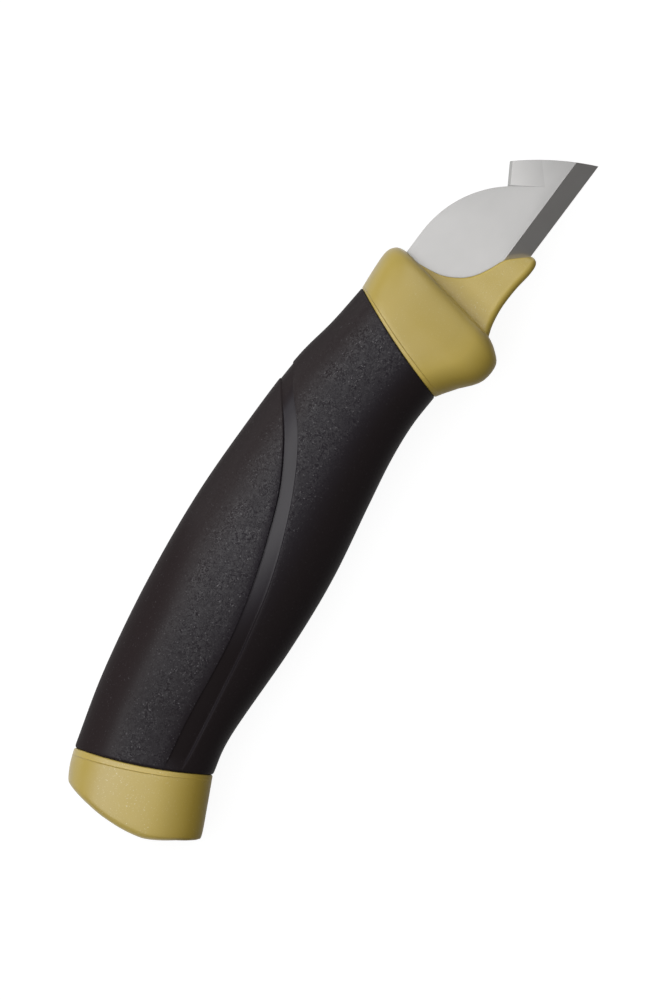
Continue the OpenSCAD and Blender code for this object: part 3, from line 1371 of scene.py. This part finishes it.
    def lug_point(self, row: np.ndarray, share: float) -> np.ndarray:
        """A point of the lug's section: a bar with a crisp blade side and a rounder belly side.

        Args:
            row: the section's numbers.
            share: how far round, from 0 at the spine, 0.5 at the belly, to 1.

        Returns:
            The drawing point.
        """
        spine, belly, half = row[0:2], row[2:4], row[4]
        depth = np.linalg.norm(spine - belly)
        axis = (belly - spine) / depth
        upper = share <= 0.5
        s = 2 * share if upper else 2 - 2 * share
        near = min(self.spine_corner, self.corner_reach[0] * depth, self.corner_rise * half)
        far = min(self.belly_corner, self.corner_reach[1] * depth, self.corner_rise * half)
        near_start, near_end, far_start, far_end = self.corner_stops
        if s < near_start:
            gone, z = 0.0, (half - near) * s / near_start
        elif s < near_end:
            a = ramp(s, near_start, near_end) * math.pi / 2
            gone, z = near * (1 - math.cos(a)), half - near + near * math.sin(a)
        elif s < far_start:
            gone, z = near + (depth - near - far) * ramp(s, near_end, far_start), half
        elif s < far_end:
            a = ramp(s, far_start, far_end) * math.pi / 2
            gone, z = depth - far + far * math.sin(a), half - far + far * math.cos(a)
        else:
            gone, z = depth, (half - far) * (1 - s) / (1 - far_end)
        return np.array((*(spine + axis * gone), z if upper else -z))

    def loft_lug(self) -> None:
        """Lays the rings of the lug, from its nose to the fillet at the ferrule's front."""
        lines = Lines(np.array(self.lug, float))
        shares = [j / self.cols for j in range(self.cols)]
        last = len(self.lug) - 1

        def ring(t: float) -> Ring:
            """The lug's ring at a place along it."""
            return [self.lug_point(lines.numbers(t), share) for share in shares]

        nose = ring(0.0)
        middle = sum(nose) / len(nose)
        rings = [[middle + (p - middle) * share for p in nose] for share in self.nose_rings]
        pitched = np.arange(1.0, last - self.lug_pitch / 2, self.lug_pitch)
        rings += [ring(t) for t in (*self.nose_stops, *pitched)]
        # The lug is painted lighter
        for made in rings:
            self.lay(made, self.lug_grain, self.front_painted_light, self.lug_painted_light)
        foot = ring(last)
        back = ring(last - self.lug_pitch)
        front = [self.handle.front.point(0.0, turn) for turn in self.turns]
        for k in range(1, self.crease_steps + 1):
            share = k / self.crease_steps
            made = []
            for near, knee, out, turn in zip(back, foot, front, self.turns):
                reach = min(across(self.crease, turn) / np.linalg.norm(out - knee), self.crease_limit)
                made.append(corner(near, knee, knee + (out - knee) * reach, share))
            # The fillet's rings are painted lighter towards the ferrule
            dim = self.lug_painted_light + (self.crease_painted_light - self.lug_painted_light) * share
            self.lay(made, self.crease_grain, self.front_painted_light, dim)

    def loft_ferrule(self) -> None:
        """Lays the rings of the ferrule: rounded front rim, broad pad, and land beside the sleeve."""
        lines, joint = self.handle.front, len(self.handle.ferrule)
        inner = self.rings[-1]
        rings = []
        for k in range(self.rim_steps + 1):
            share = k / self.rim_steps
            made = []
            for foot, turn in zip(inner, self.turns):
                knee = lines.point(0.0, turn)
                inward = (foot - knee) * min(self.rim / np.linalg.norm(foot - knee), self.rim_limit)
                made.append(corner(knee + inward, knee, lines.point(self.rim_end, turn), share))
            rings.append((self.rim_end * share, made))
        for i in range(1, self.pad_steps + 1):
            t = self.rim_end + (joint - self.pad_end - self.rim_end) * i / self.pad_steps
            rings.append((t, [lines.point(t, turn) for turn in self.turns]))
        # The rim's rings are painted with a dark band, by row
        for t, made in rings:
            self.lay(made, self.ferrule_grain, self.front_painted_light, along(self.rim_painted_shade, t))
        self.loft_land(lines, joint, -1, self.front_land)

    def loft_butt(self) -> None:
        """Lays the rings of the butt: land, flared side, and rounded end."""
        lines = self.handle.rear
        end = len(lines.rows) - 1
        self.loft_land(lines, 0, 1, self.rear_land)
        for i in range(1, self.flare_steps + 1):
            t = self.flare[0] + (end - sum(self.flare)) * i / self.flare_steps
            self.lay([lines.point(t, turn) for turn in self.turns], self.butt_grain, self.rear_painted_light)
        edge = [lines.point(end, turn) for turn in self.turns]
        side = self.rings[-1]
        for k in range(1, self.end_steps + 1):
            made = []
            for near, knee in zip(side, edge):
                inward = math.copysign(min(self.end_round, abs(knee[2])), knee[2])
                made.append(corner(near, knee, knee - np.array((0, 0, inward)), k / self.end_steps))
            self.lay(made, self.end_grain, self.rear_painted_light)
        rim = self.rings[-1]
        for share in self.end_rings:
            self.lay([p * (1, 1, share) for p in rim], self.end_grain, self.end_painted_light)

    def land_profile(self, turn: float, width: Pair) -> list[Pair]:
        """The land's section at one column, from beyond its step to the joint.

        Args:
            turn: angle from the spine, in radians.
            width: the land's width at the spine and at the belly.

        Returns:
            Distances from the joint, and depths under the surface.
        """
        wide = across(width, turn)
        depth = self.land_depth * abs(math.sin(turn)) ** self.land_fade
        step = [(wide - self.land_edge * d, depth * s) for d, s in zip(STEP_AT, STEP_SHARE)]
        lips = [(d, depth + s) for d, s in zip(reversed(LIP_AT), reversed(LIP_SINK))]
        return [(self.land_outer, 0.0), *step, *lips]

    def loft_land(self, lines: Lines, joint: int, step: int, width: Pair) -> None:
        """Lays the rings of the shallow land beside the sleeve, and its rounded edge.

        Args:
            lines: the run that the land is on.
            joint: the joint's row.
            step: 1 where the core lies towards the butt of it, -1 towards the blade.
            width: the land's width at the spine and at the belly.
        """
        front = step < 0
        tone = self.front_painted_light if front else self.rear_painted_light
        grain = self.land_grain[0 if front else 1]
        # A land's step is painted dark and its floor painted light
        dark, light = self.land_painted_shade_and_light
        dims = [1.0, 1.0, *[dark] * (len(STEP_AT) - 2), *[light] * (len(LIP_AT) + 1)]
        rings = []
        for ring in zip(*(self.land_profile(turn, width) for turn in self.turns)):
            rings.append([
                lines.point(lines.beside(joint, step, turn, distance), turn, sink)
                for turn, (distance, sink) in zip(self.turns, ring)
            ])
        for ring, dim in list(zip(rings, dims))[::-step]:
            self.lay(ring, grain, tone, dim)


@dataclass
class RubberGrip:
    """Soft sleeve between ferrule and butt, with a smooth groove that hooks over the spine.

    Stations count the grip's rows. Angles are degrees from the spine, and shares across a section run
    from -1 at the belly to 1 at the spine.
    """

    MARKS: ClassVar[tuple[Mark, ...]] = (Mark.FLOOR, Mark.SATIN, Mark.GRAIN, Mark.TONE)
    finish: BlackRubber
    datum: Datum
    handle: Handle
    # Satin, painted light and grain of the side faces by share, and their change by station
    satin: Table = (
        (-0.58, 0), (-0.22, 0.95), (0.1, 0.95), (0.3, 0.88), (0.45, 0.84), (0.6, 0.84), (0.76, 0.74),
        (0.84, 0.3), (0.95, 0),
    )
    shift_shares: Pair = (0.2, 0.5)
    rim_shift: Table = ((4.2, 0), (4.8, 0.15), (5.4, 0.25), (7, 0.25))
    wear: Table = ((4.4, 1), (4.8, 0.9), (5.4, 0.75), (6, 0.62), (6.6, 0.75), (7, 0.8))
    # Shares between which the painted light goes from the belly's colour to the lighter rim's
    tone: Pair = (0.3, 0.7)
    grain: Table = ((-0.45, 0.1), (-0.15, 1), (0.5, 1), (0.78, 0.3))
    # Groove: its depth, its walls' width, how shallow it crosses the spine and how its floor leans
    depth: float = 0.5
    wall: float = 0.5
    wall_room: float = 0.8
    crossing: float = 0.4
    crossing_turns: Pair = (28, 52)
    lean: Table = ((2.5, -0.2), (2.9, -0.5), (3.3, -1.1), (3.6, -1.2), (5.2, 0.8))
    floor_band: Pair = (0.0, 0.6)
    floor_satin: Table = (
        (-0.6, 0), (-0.3, 0.9), (-0.1, 1), (0.2, 0.9), (0.45, 0.95), (0.69, 1), (0.73, 0.5), (0.82, 0.3),
        (0.95, 0),
    )
    rim_wall: float = 3.0
    rim_turns: Pair = (40, 62)
    floor_fade: Pair = (4.6, 5.3)
    glint: float = 0.9
    glint_stations: Pair = (4.8, 5.1)
    # Stations where the groove crosses the spine and where it runs out, and the rings' spacing there
    hook: Pair = (2.13, 2.46)
    hook_wall: float = 1.3
    hook_pitch: float = 13.0
    hook_run: float = 0.6
    end: Pair = (6.72, 6.95)
    end_steps: int = 4
    fine: float = 0.02
    coarse: float = 0.07
    closest: float = 0.01
    # Millimetres a station at the two ends, and how much rounder the rear lip is
    front_pitch: float = 8.5
    rear_pitch: float = 12.0
    rear_round: float = 2.0
    # Angles of the groove's edges by station
    spine_edge: Table = (
        (0, 12), (2.46, 12), (2.52, 24.5), (2.65, 37.5), (2.8, 48), (3, 59.5), (3.25, 71), (3.5, 80.5),
        (4, 92), (4.5, 99.5), (5, 105), (5.5, 108.5), (6, 110), (6.4, 109.5), (7, 106.5),
    )
    belly_edge: Table = (
        (0, 14), (2.13, 14), (2.2, 27), (2.35, 39.5), (2.5, 48.5), (2.75, 63.5), (3, 75), (3.25, 84.5),
        (3.5, 92.5), (4, 104), (4.5, 111.5), (5, 116.5), (5.5, 122), (6, 126), (6.4, 125.5), (7, 121),
    )
    slack: float = 0.02
    spine_cols: int = 16
    floor_cols: int = 8
    belly_cols: int = 26
    smooth_angle: float = 50.0

    def build(self) -> bpy.types.Object:
        """Lofts the sleeve, outside and inside.

        Returns:
            The finished piece.
        """
        rings: list[Ring] = []
        marks: dict[Mark, list[list[float]]] = {mark: [] for mark in self.MARKS}
        for station in self.stations():
            ring, found = self.outer_ring(station)
            rings.append(ring)
            for mark, values in found.items():
                marks[mark].append(values)
        for ring in reversed(self.handle.waist(self.inner_turns, -self.slack)):
            rings.append(ring)
            for values in marks.values():
                values.append([0.0] * len(ring))
        piece = Bench.skin("rubber_grip_black", rings, self.datum, marks, hollow=True)
        Bench.smooth(piece, self.smooth_angle)
        piece.data.materials.append(self.finish.material())
        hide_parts("rubber_grip")
        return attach(piece, BODY)

    def stations(self) -> list[float]:
        """Spaces the outer rings, closer together where the groove turns and ends.

        Returns:
            Their grip stations.
        """
        last = len(self.handle.grip) - 1
        turning = (self.hook[0], self.hook[1] + self.hook_run)
        stops = {self.coarse * i for i in range(1, int(last / self.coarse))}
        stops |= {self.fine * i for i in range(int(turning[0] / self.fine), int(turning[1] / self.fine))}
        kept = {at + self.hook_wall * d / self.hook_pitch for at in self.hook for d in STEP_AT}
        start, end = self.end
        kept |= {start + (end - start) * k / self.end_steps for k in range(self.end_steps + 1)}
        kept |= {d / self.front_pitch for d in LIP_AT}
        kept |= {last - self.rear_round * d / self.rear_pitch for d in LIP_AT}
        needed, others = ({round(s, 4) for s in found} for found in (kept, stops))
        spare = {s for s in others if min(abs(s - k) for k in needed) > self.closest}
        return sorted(needed | spare)

    @staticmethod
    def edge_angle(edge: Table, station: float) -> float:
        """Angle of a groove edge from the spine, on a smooth curve through its points.

        Args:
            edge: stations and angles in degrees.
            station: the grip station.

        Returns:
            The angle in radians.
        """
        xs = np.array([p[0] for p in edge])
        ys = np.array([p[1] for p in edge], float)
        slopes = np.gradient(ys, xs)
        slopes[0] = slopes[1] = 0.0
        i = int(min(max(np.searchsorted(xs, station) - 1, 0), len(xs) - 2))
        span = xs[i + 1] - xs[i]
        f = (station - xs[i]) / span
        value = (
            ys[i] * (1 + 2 * f) * (1 - f) ** 2 + ys[i + 1] * f * f * (3 - 2 * f)
            + span * (slopes[i] * f * (1 - f) ** 2 - slopes[i + 1] * f * f * (1 - f))
        )
        return math.radians(float(value))

    def columns(self, station: float) -> list[tuple[float, float, float]]:
        """Columns of one half ring, from the spine to the belly.

        Args:
            station: the grip station.

        Returns:
            For each column its angle, and its shares of depth past the spine edge and before the
            belly edge of the groove.
        """
        section = self.handle.sleeve.at(station)
        spine = self.edge_angle(self.spine_edge, station)
        belly = self.edge_angle(self.belly_edge, station)

        def wall_turn(turn: float) -> float:
            """Finds the angle that a wall takes up.

            Args:
                turn: the wall's angle from the spine, in radians.

            Returns:
                The angle in radians.
            """
            step = 0.01
            span = np.linalg.norm(section.point(turn + step) - section.point(turn))
            return self.wall * step / float(span)

        soft = self.rim_wall + (1 - self.rim_wall) * ramp(math.degrees(spine), *self.rim_turns)
        walls = [soft * wall_turn(spine), wall_turn(belly)]
        room = min(1.0, self.wall_room * (belly - spine) / (STEP_AT[-1] * sum(walls)))
        steps = list(zip(STEP_AT, STEP_SHARE))
        first = [(spine + room * walls[0] * d, share, 1.0) for d, share in steps]
        second = [(belly - room * walls[1] * d, 1.0, share) for d, share in reversed(steps)]
        start, end, last = first[-1][0], second[0][0], second[-1][0]
        to_spine = [(first[0][0] * k / self.spine_cols, 0.0, 1.0) for k in range(self.spine_cols)]
        floor = [(start + (end - start) * k / self.floor_cols, 1.0, 1.0) for k in range(1, self.floor_cols)]
        belly_shares = [k / self.belly_cols for k in range(1, self.belly_cols + 1)]
        to_belly = [(last + (math.pi - last) * share, 1.0, 0.0) for share in belly_shares]
        return to_spine + first + floor + second + to_belly

    def inner_turns(self, station: float) -> list[float]:
        """Angles of an inner ring's points, which meet the outer columns at both ends.

        Args:
            station: the grip station.

        Returns:
            The angles round the whole ring.
        """
        last = len(self.handle.grip) - 1
        front, rear = ([column[0] for column in self.columns(at)] for at in (0.0, float(last)))
        half = [a + (b - a) * station / last for a, b in zip(front, rear)]
        return half + [2 * math.pi - turn for turn in half[-2:0:-1]]

    def outer_ring(self, station: float) -> tuple[Ring, dict[Mark, list[float]]]:
        """One ring of the sleeve's outside.

        Args:
            station: the grip station.

        Returns:
            The ring's points, and their marks: how much each belongs to the groove's smooth floor,
            how satin it is, how grained and how much painted light it has.
        """
        last = len(self.handle.grip) - 1
        section = self.handle.sleeve.at(station)
        stretch = self.hook_pitch / self.hook_wall
        entered, left = (step_down((station - at) * stretch) for at in self.hook)
        going = 1 - ramp(station, *self.end)
        edge = lip(station * self.front_pitch)
        edge += self.rear_round * lip((last - station) * self.rear_pitch / self.rear_round)
        spine, belly = (self.edge_angle(e, station) for e in (self.spine_edge, self.belly_edge))
        lean = along(self.lean, station)
        wear = along(self.wear, station)
        shift = along(self.rim_shift, station)
        lit = 1 - ramp(station, *self.floor_fade)
        glint = self.glint * ramp(station, *self.glint_stations) * going
        upper: Ring = []
        marks: dict[Mark, list[float]] = {mark: [] for mark in self.MARKS}
        for turn, past, before in self.columns(station):
            share = entered * going * before * max(1 - left, past)
            u = section.share(turn)[0]
            crossed = ramp(math.degrees(turn), *self.crossing_turns)
            shallow = self.crossing + (1 - self.crossing) * crossed
            deep = self.depth * shallow * (1 + lean * (ramp(turn, spine, belly) - 0.5))
            upper.append(section.point(turn, deep * share + edge))
            inner = u + shift * ramp(u, *self.shift_shares)
            on_floor = along(self.floor_satin, u)
            shine = along(self.satin, inner) * wear * (1 - share) + on_floor * lit * share
            half_way = 4 * before * (1 - before)
            marks[Mark.FLOOR].append(share * ramp(on_floor, *self.floor_band))
            marks[Mark.SATIN].append(max(shine, glint * half_way))
            marks[Mark.GRAIN].append(along(self.grain, inner))
            # Painted light: lighter towards the spine
            marks[Mark.TONE].append(ramp(u, *self.tone))
        under = [p * (1, 1, -1) for p in upper[-2:0:-1]]
        return upper + under, {mark: values + values[-2:0:-1] for mark, values in marks.items()}


@dataclass(frozen=True)
class Softbox:
    """A rectangular lamp with a soft face, in metres."""

    name: str
    at: Triple
    aim: Triple
    size: Pair
    radiance: float

    def hang(self) -> None:
        """Hangs the lamp so that it faces its aim."""
        data = bpy.data.lights.new(self.name, "AREA")
        data.shape = "RECTANGLE"
        data.size, data.size_y = self.size
        data.energy = self.radiance * math.pi * self.size[0] * self.size[1]
        lamp = bpy.data.objects.new(self.name, data)
        bpy.context.scene.collection.objects.link(lamp)
        lamp.location = self.at
        lamp.rotation_euler = (Vector(self.at) - Vector(self.aim)).to_track_quat("Z", "Y").to_euler()


@dataclass
class Studio:
    """Pale floor, soft light and the camera at the photograph's angle."""

    datum: Datum
    # Pixels a millimetre, the drawing point at the picture's middle, and the way to its right
    scale: float = 5.1125
    middle: Pair = (76.69, 2.33)
    right: Pair = (0.6, -0.8)
    distance: float = 4000.0
    sensor: float = 36.0
    view_end: float = 100.0
    # A low lamp overhead, which ends at the blade's tip, and fills past the spine and the tip
    lamps: tuple[Softbox, ...] = (
        Softbox("overhead_softbox", (-0.1325, 0.11, 0.38), (-0.1325, 0.11, 0), (0.435, 0.36), 2.0),
        Softbox("spine_softbox", (-0.06, 0.44, 0.4), (0, 0, 0), (0.6, 0.4), 1.0),
        Softbox("tip_softbox", (0.42, 0.08, 0.42), (0.03, 0, 0), (0.4, 0.4), 1.2),
    )
    room_light: float = 0.1
    # Floor: its side in metres, how it shades where it is seen and where it isn't, and its own light
    floor_side: float = 12.0
    floor_seen: float = 0.2
    floor_unseen: float = 0.15
    floor_glow: float = 0.92

    def build(self) -> None:
        """Sets up the whole studio."""
        bpy.context.scene.view_settings.view_transform = "Standard"
        self.camera()
        for lamp in self.lamps:
            lamp.hang()
        self.world()
        self.floor()

    def camera(self) -> None:
        """Looks straight down on the blade's side, turned as in the photograph."""
        data = bpy.data.cameras.new("camera")
        data.sensor_width = self.sensor
        data.lens = self.sensor * self.distance * self.scale / max(PHOTO_SIZE)
        data.clip_end = self.view_end
        camera = bpy.data.objects.new("camera", data)
        bpy.context.scene.collection.objects.link(camera)
        camera.location = self.datum.row(*self.middle, self.distance)
        camera.rotation_euler = (0, 0, math.atan2(self.right[1], self.right[0]))
        bpy.context.scene.camera = camera

    def world(self) -> None:
        """Fills the room with a dim even light."""
        world = bpy.data.worlds.new("studio")
        bpy.context.scene.world = world
        world.use_nodes = True
        back = world.node_tree.nodes["Background"]
        back.inputs["Color"].default_value = (1, 1, 1, 1)
        back.inputs["Strength"].default_value = self.room_light

    def floor(self) -> None:
        """Lays a wide pale floor that reads white and keeps the knife's shadow."""
        Bench.clear()
        bpy.ops.mesh.primitive_plane_add(size=self.floor_side, location=(0, 0, 0))
        floor = bpy.context.object
        floor.name = "floor"
        material = bpy.data.materials.new("pale_floor")
        material.use_nodes = True
        tree = material.node_tree
        tree.nodes.remove(tree.nodes["Principled BSDF"])
        sketch = Sketch(tree)
        path = sketch.add("ShaderNodeLightPath").outputs
        mirrored = sketch.math("MAXIMUM", path["Is Glossy Ray"], path["Is Transmission Ray"])
        seen = sketch.math("MAXIMUM", path["Is Camera Ray"], mirrored)
        unlit, lit = (
            sketch.add("ShaderNodeBsdfDiffuse", {"Color": (grey, grey, grey, 1)}).outputs[0]
            for grey in (self.floor_unseen, self.floor_seen)
        )
        white = sketch.add("ShaderNodeEmission", {"Strength": self.floor_glow}).outputs[0]
        bright = sketch.add("ShaderNodeAddShader", {0: lit, 1: white}).outputs[0]
        mixed = sketch.add("ShaderNodeMixShader", {0: seen, 1: unlit, 2: bright}).outputs[0]
        sketch.feed(tree.nodes["Material Output"], {"Surface": mixed})
        floor.data.materials.append(material)
        floor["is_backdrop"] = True


def main() -> None:
    """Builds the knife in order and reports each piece."""
    logging.basicConfig(level=logging.INFO, format="%(message)s")
    datum = Datum.of_blade(Blade.overall)
    handle = Handle()
    blade = Blade(SatinSteel("satin_steel", Slot.STEEL), datum)
    core = HandleCore(OlivePlastic("olive_plastic", Slot.OLIVE), datum, handle)
    grip = RubberGrip(BlackRubber("black_rubber", Slot.RUBBER), datum, handle)
    pieces = [blade.build(), core.build(blade.slot_tool()), grip.build()]
    for piece in pieces:
        log.info("%s: %d faces", piece.name, len(piece.data.polygons))
    Studio(datum).build()
    boxes = {"cad": CAD_BOX, "visual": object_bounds()}
    {name: [list(corner_point) for corner_point in box] for name, box in boxes.items()}


if __name__ == "__main__":
    main()
